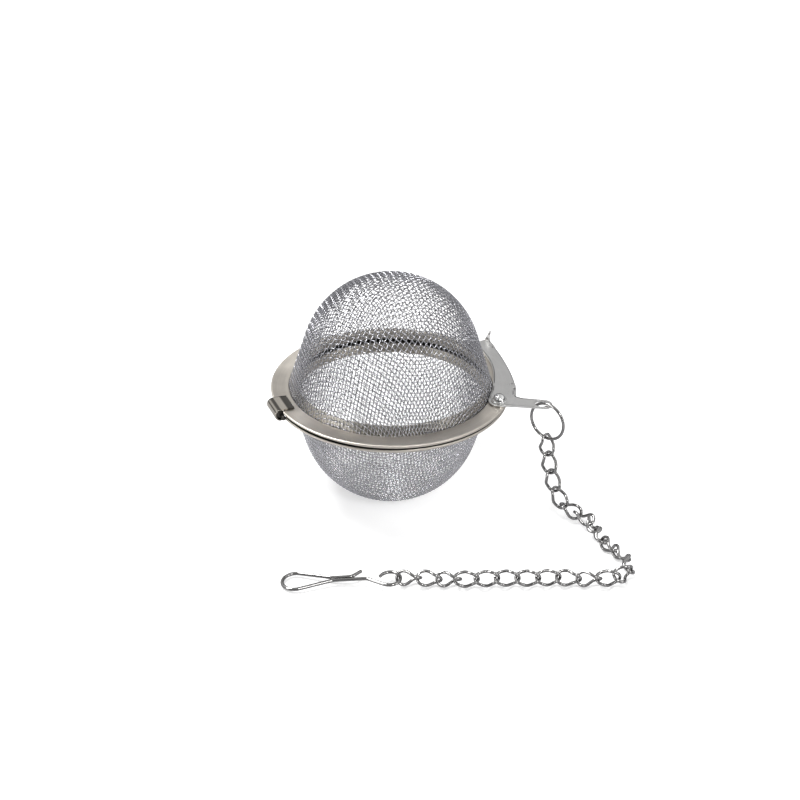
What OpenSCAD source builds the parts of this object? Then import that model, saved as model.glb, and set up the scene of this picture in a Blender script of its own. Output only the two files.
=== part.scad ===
// Tea infuser ball: two wire-mesh cups with folded sheet rims, hinged on one side,
// closed by a swinging latch plate whose handle carries a ring, a curb chain and a
// cup-rim hook. Millimetres, +Z up. Origin: centre of the flat foot of the lower cup.
// The rims meet in a horizontal plane. +X points to the latch, +Y to the back.
// In names, _r is a radius, _d a diameter, _t a thickness and _in an inner radius.

/* [Ball] */
// Outer radius of the upper rim
rim_r = 25; // [24.6:0.1:25.4]
// How much smaller the lower rim is in radius
rim_step = 0.3; // [0.2:0.05:0.4]
// Inner radius of the flat rim flange
flange_in = 21.3; // [21:0.1:21.6]
// Height of the plane between the rims above the foot
split_z = 23.6; // [22.6:0.1:24]
// Radius of the upper dome
dome_r_upper = 18.8; // [18.2:0.1:19.2]
// Radius of the lower dome
dome_r_lower = 18.9; // [18.6:0.1:19.4]
// Height of each dome's centre from the rim plane
dome_c = 6; // [5.4:0.1:6.4]
// Overall thickness of the crossed mesh wires
mesh_t = 0.3; // [0.2:0.05:0.35]

/* [Hinge] */
// Direction of the hinge round the rim, degrees
hinge_az = 203; // [195:1:210]
// Width of the hinge strap along the rim
strap_w = 5.4; // [4.4:0.2:5.6]
// Radius of the rolled hinge bar
bar_r = 0.85; // [0.8:0.01:0.86]
// Distance of the hinge axis from the ball axis
hinge_r = 25.1; // [25:0.02:25.16]

/* [Latch] */
// Rivet position, x
rivet_x = 22.2; // [22:0.1:22.4]
// Rivet position, y
rivet_y = -7.4; // [-7.6:0.1:-7.2]
// Sheet thickness of the latch plate
plate_t = 0.4; // [0.3:0.05:0.45]
// Radius of the rivet shank
shank_r = 0.8; // [0.6:0.05:0.9]
// Half width of the handle
handle_hw = 1.6; // [1.55:0.05:1.7]
// Radius of the ring hole in the handle
hole_r = 1.2; // [1.2:0.02:1.24]

/* [Chain] */
// Link wire diameter
link_d = 0.62; // [0.56:0.02:0.64]
// Link length over the wires
link_len = 5.35; // [5.3:0.05:5.4]
// Link half width to the wire centre
link_a = 1.34; // [1.3:0.02:1.38]
// Twist between the two ends of a link, degrees
link_twist = 76; // [72:1:80]
// Ring wire diameter
ring_d = 0.65; // [0.6:0.01:0.66]
// Ring radius to the wire centre
ring_r = 3.95; // [3.93:0.01:3.98]
// Direction of the ring's plane, degrees
ring_yaw = -40; // [-42:1:-38]

/* [Hook] */
// Hook wire diameter
hook_d = 0.7; // [0.6:0.02:0.72]
// Upward tilt of the hook towards its eye, degrees
hook_pitch = 3.4; // [3.2:0.1:3.6]
// Direction of the hook's shaft, degrees
hook_yaw = 2; // [0:1:4]

/* [Hidden] */
$fn = 48;

function unit(v) = v / norm(v);
function reversed(list) = [for (i = [len(list) - 1:-1:0]) list[i]];
function polar(radius, angle) = radius * [cos(angle), sin(angle)];

// ---- Cups: profiles are [radius, height above the rim plane] ----
sheet = 0.3;             // rim sheet
rim_t = 0.85;            // folded rim, over both layers and the mesh hem
rim_gap = 0.05;          // half the gap between the two rims
rim_top = rim_gap + rim_t;
edge_cut = 0.15;         // bevel on the rim's outer edges
fold_w = 0.8;            // solid width of the fold at the outer edge
rim_in = 20.55;          // inner radius where the collar leaves the rim plane
collar_end_r = 20.18;    // outer radius of the collar's end
collar_h = 2.6;
hem_gap = 0.02;          // hem to each sheet layer
mesh_out = flange_in - 0.1;

// Folded rim: two layers of sheet over the mesh hem and a short collar inside the mesh.
module rim_body(outer_r) rotate_extrude($fn = 144) polygon([
  [rim_in, rim_gap], [outer_r - edge_cut, rim_gap],
  [outer_r, rim_gap + edge_cut], [outer_r, rim_top - edge_cut],
  [outer_r - edge_cut, rim_top], [flange_in, rim_top],
  [flange_in, rim_top - sheet], [outer_r - fold_w, rim_top - sheet],
  [outer_r - fold_w, rim_gap + sheet], [rim_in + sheet, rim_gap + sheet],
  [collar_end_r, collar_h], [collar_end_r - sheet, collar_h]]);

// Dome outline: a cone from the start point, tangent to a sphere centred at dome_c,
// then the sphere up to the height top, closed by a flat if that cuts the sphere.
function dome(start, radius, top, steps = 16) =
  let(
    rise = start[1] - dome_c,
    first = atan2(rise, start[0]) + acos(radius / norm([start[0], rise])),
    last = asin(min(1, (top - dome_c) / radius)))
  concat([start],
    [for (i = [0:steps]) [0, dome_c] + polar(radius, first + (last - first) * i / steps)],
    last < 89.9 ? [[0, top]] : []);

// Mesh: a hem inside the folded rim and a dome shell.
module mesh_body(dome_r, top, outer_r) {
  hem_r = outer_r - fold_w - 0.1;
  hem_low = rim_gap + sheet + hem_gap;
  hem_high = rim_top - sheet - hem_gap;
  rotate_extrude($fn = 144) polygon(concat(
    [[rim_in + sheet + 0.05, hem_low], [hem_r, hem_low],
     [hem_r, hem_high], [flange_in - 0.08, hem_high]],
    dome([mesh_out, rim_top], dome_r, top),
    reversed(dome([mesh_out - mesh_t, rim_top - sheet], dome_r - mesh_t, top - mesh_t))));
}

module lower_rim() color([0.72, 0.70, 0.66]) {
  difference() {
    translate([0, 0, split_z]) mirror([0, 0, 1]) rim_body(rim_r - rim_step);
    at_hinge() hinge_cyl(strap_out + 0.1, strap_w + 0.3);
  }
  at_hinge() hinge_cyl(bar_r, bar_len);
}
module lower_mesh() color([0.78, 0.79, 0.82])
  translate([0, 0, split_z]) mirror([0, 0, 1])
    mesh_body(dome_r_lower, split_z, rim_r - rim_step);
module upper_rim() color([0.75, 0.73, 0.68]) difference() {
  translate([0, 0, split_z]) rim_body(rim_r);
  hinge_notch(inward = 0.05, sideways = 0.2, height = 4);
}
module upper_mesh() color([0.80, 0.81, 0.84]) difference() {
  translate([0, 0, split_z]) mesh_body(dome_r_upper, dome_c + dome_r_upper, rim_r);
  hinge_notch(inward = 0.9, sideways = 0.6, height = 2.2);
}

// ---- Hinge: drawn with X pointing outward through the hinge, Z from the rim plane ----
bar_len = 7.6;
strap_t = 0.35;
strap_in = rim_top + 0.02;    // inside of the strap's curl, also its height on the rim
strap_out = strap_in + strap_t;
strap_start = 21.9;           // radius where the strap's flat begins
curl_cut = 3;                 // reach of the cut that opens the curl

module at_hinge() translate([0, 0, split_z]) rotate([0, 0, hinge_az]) children();
module hinge_cyl(radius, length) translate([hinge_r, 0, 0]) rotate([90, 0, 0])
  cylinder(h = length, r = radius, center = true, $fn = 64);

// Room for the bar in the upper cup, with clearances inward and at each bar end.
module hinge_notch(inward, sideways, height)
  at_hinge() translate([hinge_r - bar_r - inward, -bar_len / 2 - sideways, -1])
    cube([4, bar_len + 2 * sideways, height]);

// Strap: a flat on the upper rim that curls over the outside of the bar to just past
// its underside.
module hinge_strap() color([0.62, 0.61, 0.58]) at_hinge() {
  difference() {
    hinge_cyl(strap_out, strap_w);
    hinge_cyl(strap_in, strap_w + 1);
    translate([hinge_r, 0, 0]) rotate([90, 0, 0]) linear_extrude(strap_w + 1, center = true)
      polygon([[0, 0], [0, curl_cut], [-curl_cut, curl_cut], [-curl_cut, -curl_cut],
        [curl_cut * cos(-100), -curl_cut]]);
  }
  translate([strap_start, -strap_w / 2, strap_in])
    cube([hinge_r - strap_start, strap_w, strap_t]);
}

// ---- Latch: heights from the rim plane ----
rivet = [rivet_x, rivet_y];
ring_c = [32.1, -9.6, split_z - 2.17];
hole_c = [ring_c[0], ring_c[1]] - polar(hole_r + 0.65, ring_yaw);
plate_z = rim_top + 0.02;
plate_top = plate_z + plate_t;
boss_r = 2.2;        // round of the plate about the rivet
handle_end = 0.77;   // centre of the handle's round end beyond the hole
lip_bottom = -1.4;
lip_t = 0.42;
ledge_t = 0.35;      // inward ledge at the foot of the lip
ledge_in = 24.85;
tab_t = 0.42;
tab_r = 27.95;       // distance of the tab's inner face from the ball axis

// Stations round the rim: angle in degrees, inner radius, outer radius.
crescent = [[-16, 21.35, 24.6], [-8, 21.3, 26], [-1, 21.35, 25.85], [7, 21.7, 25.85],
  [14, 22.45, 25.95], [21, 23.1, 26.25], [28, 23.5, 26.85], [35, 24.1, 27.8],
  [41, 25, 28.8]];
lip = [for (row = crescent) if (row[0] >= -8 && row[0] <= 35) row];
tab_angle = crescent[len(crescent) - 1][0];

// Band between the stations' outer radii and a list of inner radii.
module band(rows, inner) polygon(concat(
  [for (row = rows) polar(row[2], row[0])],
  [for (i = [len(rows) - 1:-1:0]) polar(inner[i], rows[i][0])]));

module latch_plate() color([0.74, 0.74, 0.75]) translate([0, 0, split_z]) difference() {
  union() {
    translate([0, 0, plate_z]) linear_extrude(plate_t)
      band(crescent, [for (row = crescent) row[1]]);
    translate([rivet_x, rivet_y, plate_z]) cylinder(h = plate_t, r = boss_r, $fn = 64);
    handle();
    translate([0, 0, lip_bottom]) linear_extrude(plate_z + 0.1 - lip_bottom)
      band(lip, [for (row = lip) row[2] - lip_t]);
    translate([0, 0, lip_bottom]) linear_extrude(ledge_t)
      band(lip, [for (row = lip) ledge_in]);
    thumb_tab();
  }
  translate([rivet_x, rivet_y, 0]) cylinder(h = 4, r = shank_r + 0.05, $fn = 64);
  translate([hole_c[0], hole_c[1], 0]) cylinder(h = 4, r = hole_r, $fn = 64);
}

// Handle: a straight arm from the rivet past the ring hole, with a round end.
module handle() {
  arm = hole_c - rivet;
  length = norm(arm) + handle_end;
  translate([rivet_x, rivet_y, plate_z]) rotate([0, 0, atan2(arm[1], arm[0])])
    linear_extrude(plate_t) polygon(concat([[0, -handle_hw]],
      arc([length, 0], handle_hw, -90, 90, 20), [[0, handle_hw]]));
}

// Small tapered tab turned up at the plate's free end.
module thumb_tab() rotate([0, 0, tab_angle]) translate([tab_r, -1.5, plate_z + 0.1])
  rotate([90, 0, 90]) linear_extrude(tab_t)
    polygon([[0, 0], [1.4, 0], [0.8, 2.3], [0.3, 2.3]]);

// Rivet: shank through the plate, a flat washer step and a domed head.
module latch_rivet() color([0.82, 0.82, 0.83]) translate([rivet_x, rivet_y, split_z]) {
  translate([0, 0, rim_top]) cylinder(h = plate_t + 0.1, r = shank_r, $fn = 64);
  translate([0, 0, plate_top + 0.02]) cylinder(h = 0.3, r = 1.65, $fn = 64);
  translate([0, 0, plate_top + 0.3]) intersection() {
    translate([0, 0, -0.2]) sphere(r = 1.4, $fn = 48);
    cylinder(h = 1.3, r = 1.5, $fn = 64);
  }
}

// ---- Chain ----
half_link = (link_len - link_d) / 2;         // link centre to the wire centre of its end
// Wire centre to wire centre in a tight joint
link_joint = link_d + 0.09;
ring_joint = (link_d + ring_d) / 2 + 0.09;
hook_joint = (link_d + hook_d) / 2 + 0.12;

// Resting pose of each link, from the ring to the hook:
// heading, downward pitch, roll (degrees), slack of the joint to the next link.
chain_pose = [
  [-45, 79, 33, 0], [-45, 74, 35, 0], [-45, 68, 37, 0.05], [-40, 52, 34, 0.35],
  [-20, 22, 20, 0.65], [-45, 1.8, -5, 0.6], [-78, 0, -35, 0.1], [-74, 0, -60, 0.3],
  [-55, 0, -72, 0.7], [-58, 0, -60, 0.35], [-88, 0, -75, 0.3], [-138, 0, -66, 0.35],
  [-172, 0, -60, 0.2], [-179, 0, -95, 0.05], [174, 0, -75, 0.05], [-174, 0, -60, 0],
  [-179, 0, -58, 0], [-179, 0, -60, 0.05], [-174, 0, -57, 0], [-179, 0, -62, 0.6],
  [-179, 0, -98, 0.2], [175, 0, -78, 0.05], [-178, 0, -100]];
last_link = len(chain_pose) - 1;

function link_dir(i) = let(yaw = chain_pose[i][0], pitch = chain_pose[i][1])
  [cos(pitch) * cos(yaw), cos(pitch) * sin(yaw), -sin(pitch)];
// Link centres: the first hangs from the bottom of the ring, each other from the last.
function link_centre(i) = i == 0
  ? ring_c - [0, 0, ring_r] + (half_link - ring_joint) * link_dir(0)
  : link_centre(i - 1) + half_link * (link_dir(i - 1) + link_dir(i))
    - (link_joint + chain_pose[i - 1][3]) * unit(link_dir(i - 1) + link_dir(i));

module chain_ring() color([0.72, 0.72, 0.74])
  translate(ring_c) rotate([0, 0, ring_yaw]) rotate([90, 0, 0])
    rotate_extrude($fn = 96) translate([ring_r, 0]) circle(d = ring_d, $fn = 32);

module rod(from, to, radius) {
  span = to - from;
  translate(from) rotate([0, acos(span[2] / norm(span)), atan2(span[1], span[0])])
    cylinder(h = norm(span), r = radius, $fn = 24);
}

// Curb link: two round ends turned against each other and two slanting sides.
module curb_link() {
  wire_r = link_d / 2;
  tilt = link_twist / 2;
  end_x = half_link - link_a;
  side_y = link_a * cos(tilt);
  side_z = link_a * sin(tilt);
  for (s = [1, -1]) {
    rotate([s * tilt, 0, 0]) translate([s * end_x, 0, 0]) rotate([0, 0, -90 * s])
      rotate_extrude(angle = 180, $fn = 72) translate([link_a, 0])
        circle(r = wire_r, $fn = 24);
    from = [end_x, s * side_y, s * side_z];
    to = [-end_x, s * side_y, -s * side_z];
    rod(from, to, wire_r);
    // Balls fill the corners between the side and the round ends.
    for (joint = [from, to]) translate(joint) sphere(r = wire_r + 0.01, $fn = 24);
  }
}
module chain_link(i) color([0.70, 0.70, 0.73])
  translate(link_centre(i))
    rotate([chain_pose[i][2], chain_pose[i][1], chain_pose[i][0]]) curb_link();

// ---- Hook: one wire, drawn flat in XY with the far end of its eye at the origin ----
// Eye, straight shaft, teardrop loop and a return leg with a flared tip.
hook_pos = link_centre(last_link) + (half_link - hook_joint) * link_dir(last_link);
eye_r = 2.1;
loop_c = [-20.6, 0.75];
loop_r = 2.55;
tip = [-7.7, 2.85];
leg = [[-9.5, 1.28], [-13.2, 1.23]];
shaft = [[-13.2, 0.42], [-6.6, 0.42]];

function arc(centre, radius, from, to, steps) =
  [for (k = [0:steps]) centre + polar(radius, from + (to - from) * k / steps)];
// Rounded corner between two neighbours, starting and ending at reach from the corner.
function rounded(before, corner, after, reach) =
  let(
    start = corner + reach * unit(before - corner),
    end = corner + reach * unit(after - corner))
  [for (k = [0:5]) let(t = k / 5)
    (1 - t) * (1 - t) * start + 2 * t * (1 - t) * corner + t * t * end];

loop_arc = arc(loop_c, loop_r, 68, 292, 28);
eye_arc = arc([-eye_r, 0], eye_r, -128, 155, 36);
hook_line = concat([tip],
  rounded(tip, leg[0], leg[1], 0.7),
  rounded(leg[0], leg[1], loop_arc[0], 0.8),
  loop_arc,
  rounded(loop_arc[len(loop_arc) - 1], shaft[0], shaft[1], 0.8),
  rounded(shaft[0], shaft[1], eye_arc[0], 0.8),
  eye_arc);

// Round wire along a flat line, with domed ends.
module wire(line, radius, sides) {
  end = len(line) - 1;
  out_first = unit(line[0] - line[1]);
  out_last = unit(line[end] - line[end - 1]);
  caps = [80, 55, 28];    // latitudes of the rings on each domed end
  centres = concat(
    [for (a = caps) line[0] + radius * sin(a) * out_first],
    line,
    [for (a = reversed(caps)) line[end] + radius * sin(a) * out_last]);
  radii = concat(
    [for (a = caps) radius * cos(a)],
    [for (point = line) radius],
    [for (a = reversed(caps)) radius * cos(a)]);
  last = len(centres) - 1;
  points = [for (i = [0:last])
    let(way = unit(centres[min(last, i + 1)] - centres[max(0, i - 1)]))
    for (j = [0:sides - 1])
      let(a = 360 * j / sides, across = radii[i] * cos(a))
      [centres[i][0] - across * way[1], centres[i][1] + across * way[0],
       radii[i] * sin(a)]];
  walls = [for (i = [0:last - 1]) for (j = [0:sides - 1])
    let(p = i * sides + j, q = i * sides + (j + 1) % sides)
    each [[p, p + sides, q], [q, p + sides, q + sides]]];
  polyhedron(points, concat([[for (j = [0:sides - 1]) j]], walls,
    [[for (j = [sides - 1:-1:0]) last * sides + j]]));
}
module hook() color([0.74, 0.74, 0.76])
  translate(hook_pos) rotate([0, 0, hook_yaw]) rotate([0, -hook_pitch, 0])
    wire(hook_line, hook_d / 2, 20);

lower_rim();
lower_mesh();
upper_rim();
upper_mesh();
hinge_strap();
latch_plate();
latch_rivet();
chain_ring();
chain_link(0);  // link_01
chain_link(1);  // link_02
chain_link(2);  // link_03
chain_link(3);  // link_04
chain_link(4);  // link_05
chain_link(5);  // link_06
chain_link(6);  // link_07
chain_link(7);  // link_08
chain_link(8);  // link_09
chain_link(9);  // link_10
chain_link(10);  // link_11
chain_link(11);  // link_12
chain_link(12);  // link_13
chain_link(13);  // link_14
chain_link(14);  // link_15
chain_link(15);  // link_16
chain_link(16);  // link_17
chain_link(17);  // link_18
chain_link(18);  // link_19
chain_link(19);  // link_20
chain_link(20);  // link_21
chain_link(21);  // link_22
chain_link(22);  // link_23
hook();
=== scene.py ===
# A ball of two woven wire cups held in folded steel rims, with a hinge, a latch plate, a ring,
# a 23-link chain and a hook. The ball's axis is world Z and the rims meet at z = 23.6 mm. The
# camera looks along +Y from the front: the hinge is on the left, the latch plate on the right.
# The chain hangs from the latch plate and then runs to the left along the floor in front.
# The product is measured in mm and the stage (floor, lights, cards, camera) in metres.
import math

import bmesh
import bpy
import numpy as np
from mathutils import Matrix, Vector
from mathutils.geometry import tessellate_polygon


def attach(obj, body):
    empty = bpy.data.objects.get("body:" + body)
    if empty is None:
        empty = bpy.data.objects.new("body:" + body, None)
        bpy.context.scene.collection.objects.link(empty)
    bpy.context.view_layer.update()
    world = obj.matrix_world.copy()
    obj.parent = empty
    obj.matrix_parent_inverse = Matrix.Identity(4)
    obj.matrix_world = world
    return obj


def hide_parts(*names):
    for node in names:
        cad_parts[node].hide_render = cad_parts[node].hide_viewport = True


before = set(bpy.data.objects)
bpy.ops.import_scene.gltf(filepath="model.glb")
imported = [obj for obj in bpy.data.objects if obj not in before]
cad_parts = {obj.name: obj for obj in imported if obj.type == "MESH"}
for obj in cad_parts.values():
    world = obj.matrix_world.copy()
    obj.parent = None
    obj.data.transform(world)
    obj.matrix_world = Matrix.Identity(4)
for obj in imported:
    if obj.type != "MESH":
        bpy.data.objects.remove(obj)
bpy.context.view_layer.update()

MM = 1000.0  # mm in a metre
SEAM_Z = 23.6  # plane between the rims
RNG = np.random.default_rng(11)

HINGE_AZIMUTH = math.radians(203)
HINGE_RADIUS = 25.1  # from the ball's axis to the hinge's


# ------------------------------------------------------------------ curves
def smoothstep(x):
    x = np.clip(x, 0, 1)
    return x * x * (3 - 2 * x)


def heading(angle):
    return np.array([math.cos(angle), math.sin(angle)])


def polar(radius, degrees):
    return radius * heading(math.radians(degrees))


def arc_points(centre, radius, first, last, count):
    """Points on an arc between two angles in degrees."""
    return [np.array(centre) + polar(radius, a) for a in np.linspace(first, last, count)]


def bezier(start, control, end, steps=12):
    """Points of a quadratic curve, without its start."""
    start, control, end = (np.array(p, float) for p in (start, control, end))
    return [tuple((1 - s) ** 2 * start + 2 * s * (1 - s) * control + s * s * end)
            for s in (k / steps for k in range(1, steps + 1))]


def arc_length(points):
    gaps = np.linalg.norm(np.diff(points, axis=0), axis=1)
    return np.concatenate([[0], np.cumsum(gaps)])


def resample(stations, values, at):
    return np.stack([np.interp(at, stations, column) for column in values.T], 1)


def gauss_kernel(reach, step, sigma):
    kernel = np.exp(-0.5 * (np.arange(-reach, reach + 1) * step / sigma) ** 2)
    return kernel / kernel.sum()


def blur(padded, kernel):
    return np.stack([np.convolve(column, kernel, "valid") for column in padded.T], 1)


def blur_loop(points, reach, step, sigma):
    padded = np.concatenate([points[-reach:], points, points[:reach]])
    return blur(padded, gauss_kernel(reach, step, sigma))


def corner_arc(before, corner, after, radius, share, steps):
    """Arc in place of a corner; it takes at most this share of either side."""
    u, v = before - corner, after - corner
    len_u, len_v = np.linalg.norm(u), np.linalg.norm(v)
    u, v = u / len_u, v / len_v
    half = math.acos(max(-1, min(1, u @ v))) / 2
    setback = min(radius / math.tan(half), share * len_u, share * len_v)
    radius = setback * math.tan(half)
    middle = (u + v) / np.linalg.norm(u + v)
    centre = corner + middle * (radius / math.sin(half))
    start, end = corner + u * setback - centre, corner + v * setback - centre
    first = math.atan2(start[1], start[0])
    turn = (math.atan2(end[1], end[0]) - first + math.pi) % (2 * math.pi) - math.pi
    return [centre + radius * heading(first + turn * k / steps) for k in range(steps + 1)]


def fillet(points, radii, steps):
    """Closed polygon with rounded corners; radii is one number or one for each corner."""
    points = [np.array(p, float) for p in points]
    radii = np.broadcast_to(radii, len(points))
    out = []
    for i, corner in enumerate(points):
        after = points[(i + 1) % len(points)]
        out += corner_arc(points[i - 1], corner, after, radii[i], 0.49, steps)
    return np.array(out)


def open_profile(points, radii):
    """Open line with six points at each inner corner; radius None marks a point on a straight."""
    points = [np.array(p, float) for p in points]
    out = [points[0]]
    for before, corner, after, radius in zip(points, points[1:], points[2:], radii):
        if radius is None:
            out += [corner + (after - corner) * 0.02 * k for k in range(6)]
        else:
            out += corner_arc(before, corner, after, radius, 0.48, 5)
    out.append(points[-1])
    return np.array(out)


def densify(loop, longest):
    """Closed polygon with its long sides divided."""
    out = []
    for start, end in zip(loop, np.roll(loop, -1, 0)):
        parts = max(1, int(math.ceil(np.linalg.norm(end - start) / longest)))
        out += [start + (end - start) * j / parts for j in range(parts)]
    return np.array(out)


def rounded_box(half_width, half_height, radius, steps):
    return fillet([(-half_width, -half_height), (half_width, -half_height),
                   (half_width, half_height), (-half_width, half_height)], radius, steps)


# ------------------------------------------------------------------ meshes
def add(name, verts, faces, mat, body, replaces=None, smooth=None, angle=None):
    """One piece from vertices in mm (world), made into metres and put on its body.

    smooth: a flag for each face, or None for all smooth. angle: edges above it stay sharp.
    """
    mesh = bpy.data.meshes.new(name)
    verts = np.asarray(verts, float) / MM
    if isinstance(faces, np.ndarray):
        count, corners = faces.shape
        mesh.vertices.add(len(verts))
        mesh.vertices.foreach_set("co", verts.astype(np.float32).ravel())
        mesh.loops.add(count * corners)
        mesh.loops.foreach_set("vertex_index", faces.astype(np.int32).ravel())
        mesh.polygons.add(count)
        mesh.polygons.foreach_set("loop_start", (np.arange(count) * corners).astype(np.int32))
        mesh.update(calc_edges=True)
        mesh.validate()
    else:
        mesh.from_pydata([tuple(p) for p in verts], [], [tuple(f) for f in faces])
        mesh.update()
    if smooth is None:
        smooth = np.ones(len(mesh.polygons), bool)
    mesh.polygons.foreach_set("use_smooth", np.asarray(smooth, bool))
    if angle is not None:
        bm = bmesh.new()
        bm.from_mesh(mesh)
        for edge in bm.edges:
            if len(edge.link_faces) == 2 and edge.calc_face_angle(0.0) > math.radians(angle):
                edge.smooth = False
        bm.to_mesh(mesh)
        bm.free()
    mesh.materials.append(mat)
    obj = bpy.data.objects.new(name, mesh)
    bpy.context.scene.collection.objects.link(obj)
    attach(obj, body)
    if replaces:
        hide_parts(replaces)
    return obj


def turn_angles(sides):
    return np.arange(sides) * 2 * math.pi / sides


def ring_quads(rings, sides):
    """Quads between rings of vertices that follow one another."""
    i = np.arange(rings - 1)[:, None] * sides
    j = np.arange(sides)[None, :]
    j2 = (j + 1) % sides
    return np.stack([i + j, i + j2, i + sides + j2, i + sides + j], -1).reshape(-1, 4)


def loft(rings):
    """Skin over a row of rings, closed at both ends."""
    sides = len(rings[0])
    last = (len(rings) - 1) * sides
    faces = ring_quads(len(rings), sides).tolist()
    faces.append(tuple(range(sides - 1, -1, -1)))
    faces.append(tuple(last + j for j in range(sides)))
    return np.concatenate(rings), faces


def tube(path, radius, sides, ref=(0.3, 0.5, 0.81)):
    """Round wire along a path, with small rounded lips at its ends. ref steadies the frames."""
    path = np.asarray(path, float)
    tangent = np.gradient(path, axis=0)
    tangent /= np.linalg.norm(tangent, axis=1)[:, None]
    normal = np.zeros_like(path)
    first = np.array(ref, float)
    first = first - tangent[0] * (first @ tangent[0])
    normal[0] = first / np.linalg.norm(first)
    for i in range(1, len(path)):
        carried = normal[i - 1] - tangent[i] * (normal[i - 1] @ tangent[i])
        normal[i] = carried / np.linalg.norm(carried)
    lip = min(0.35 * radius, 0.12)
    start, end = tangent[0] * lip, tangent[-1] * lip
    path = np.concatenate([[path[0] - start], [path[0] - start * 0.7], path,
                           [path[-1] + end * 0.7], [path[-1] + end]])
    tangent = np.concatenate([tangent[:1], tangent[:1], tangent, tangent[-1:], tangent[-1:]])
    normal = np.concatenate([normal[:1], normal[:1], normal, normal[-1:], normal[-1:]])
    radii = np.full(len(path), float(radius))
    radii[[0, -1]] -= lip
    radii[[1, -2]] -= lip * 0.3
    side = np.cross(tangent, normal)
    turn = turn_angles(sides)[None, :, None]
    return loft(path[:, None, :] + radii[:, None, None] * (
        np.cos(turn) * normal[:, None, :] + np.sin(turn) * side[:, None, :]))


# ------------------------------------------------------------------ materials
def add_node(tree, kind, inputs, **settings):
    """Shader node; each input is given a value, or the socket that feeds it."""
    node = tree.nodes.new("ShaderNode" + kind)
    for key, value in settings.items():
        setattr(node, key, value)
    for key, value in inputs.items():
        if isinstance(value, bpy.types.NodeSocket):
            tree.links.new(value, node.inputs[key])
        else:
            node.inputs[key].default_value = value
    return node


def new_material(name):
    mat = bpy.data.materials.new(name)
    mat.use_nodes = True
    return mat, mat.node_tree, mat.node_tree.nodes.get("Principled BSDF")


def ring_coordinates(tree, position):
    """Coordinates that follow the turn round the ball's axis: radius, scaled angle, height."""
    xyz = add_node(tree, "SeparateXYZ", {0: position}).outputs
    flat = add_node(tree, "VectorMath", {0: position, 1: (1, 1, 0)}, operation="MULTIPLY")
    radius = add_node(tree, "VectorMath", {0: flat.outputs[0]}, operation="LENGTH")
    angle = add_node(tree, "Math", {0: xyz["Y"], 1: xyz["X"]}, operation="ARCTAN2")
    scaled = add_node(tree, "Math", {0: angle.outputs[0], 1: 0.0022}, operation="MULTIPLY")
    return add_node(tree, "CombineXYZ", {
        0: radius.outputs["Value"], 1: scaled.outputs[0], 2: xyz["Z"]}).outputs[0]


def steel(name, colour, rough, spread, grain, grain_bump, bump_mm,
          ring=False, scratches=0.0, aniso=0.0):
    """Stainless steel with drawn or brushed grain, faint mottling and fine scratches.

    rough, spread: middle and half range of the roughness. grain: density of the grain on each
    axis. grain_bump, bump_mm: strength and height of its relief. ring: the grain runs round the
    ball's axis. scratches: strength of the scratch relief. aniso: anisotropy of the shine.
    """
    mat, tree, bsdf = new_material(name)
    position = tree.nodes.new("ShaderNodeTexCoord").outputs["Object"]
    grain_position = ring_coordinates(tree, position) if ring else position
    stretch = add_node(tree, "Mapping", {"Scale": grain, "Vector": grain_position})
    grain_noise = add_node(tree, "TexNoise", {
        "Scale": 4.0, "Detail": 5.0, "Roughness": 0.62, "Vector": stretch.outputs[0]}).outputs[0]
    mottling = add_node(tree, "TexNoise", {"Scale": 260.0, "Detail": 4.0, "Vector": position})

    # equal parts of mottling and grain drive both the roughness and the colour
    half_grain = add_node(tree, "Math", {0: grain_noise, 1: 0.5}, operation="MULTIPLY")
    wear = add_node(tree, "Math", {0: mottling.outputs[0], 1: 0.5, 2: half_grain.outputs[0]},
                    operation="MULTIPLY_ADD").outputs[0]
    gloss = add_node(tree, "MapRange", {
        "From Min": 0.3, "From Max": 0.7,
        "To Min": rough - spread, "To Max": rough + spread, "Value": wear})
    tree.links.new(gloss.outputs[0], bsdf.inputs["Roughness"])
    tone = add_node(tree, "MapRange", {"From Min": 0.35, "From Max": 0.62, "Value": wear})
    blend = add_node(tree, "Mix", {
        "A": (*[c * 0.86 for c in colour], 1), "B": (*colour, 1), "Factor": tone.outputs[0]},
        data_type="RGBA")
    tree.links.new(blend.outputs["Result"], bsdf.inputs["Base Color"])
    bsdf.inputs["Metallic"].default_value = 1.0

    if aniso:
        tangent = add_node(tree, "Tangent", {}, direction_type="RADIAL", axis="Z")
        tree.links.new(tangent.outputs[0], bsdf.inputs["Tangent"])
        bsdf.inputs["Anisotropic"].default_value = aniso

    relief = add_node(tree, "Bump", {
        "Strength": grain_bump, "Distance": bump_mm / 1000.0, "Height": grain_noise})
    if scratches > 0:
        slant = add_node(tree, "Mapping", {
            "Scale": (1, 0.23, 1), "Rotation": (0.2, 0.1, 0.9), "Vector": position})
        cells = add_node(tree, "TexVoronoi", {"Scale": 420.0, "Vector": slant.outputs[0]},
                         feature="DISTANCE_TO_EDGE")
        lines = add_node(tree, "MapRange", {
            "From Min": 0.0, "From Max": 0.02, "Value": cells.outputs["Distance"]})
        relief = add_node(tree, "Bump", {
            "Strength": scratches, "Distance": 0.000004,
            "Height": lines.outputs[0], "Normal": relief.outputs[0]})
    tree.links.new(relief.outputs[0], bsdf.inputs["Normal"])
    return mat


BRUSHED_ROUND = dict(grain=(1500, 260, 1500), grain_bump=0.30, bump_mm=0.006, ring=True)
DRAWN_WIRE = dict(rough=0.22, spread=0.08, grain=(1200, 1200, 1200),
                  grain_bump=0.25, bump_mm=0.004)
EVEN_GRAIN = (1100, 1100, 1100)

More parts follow.
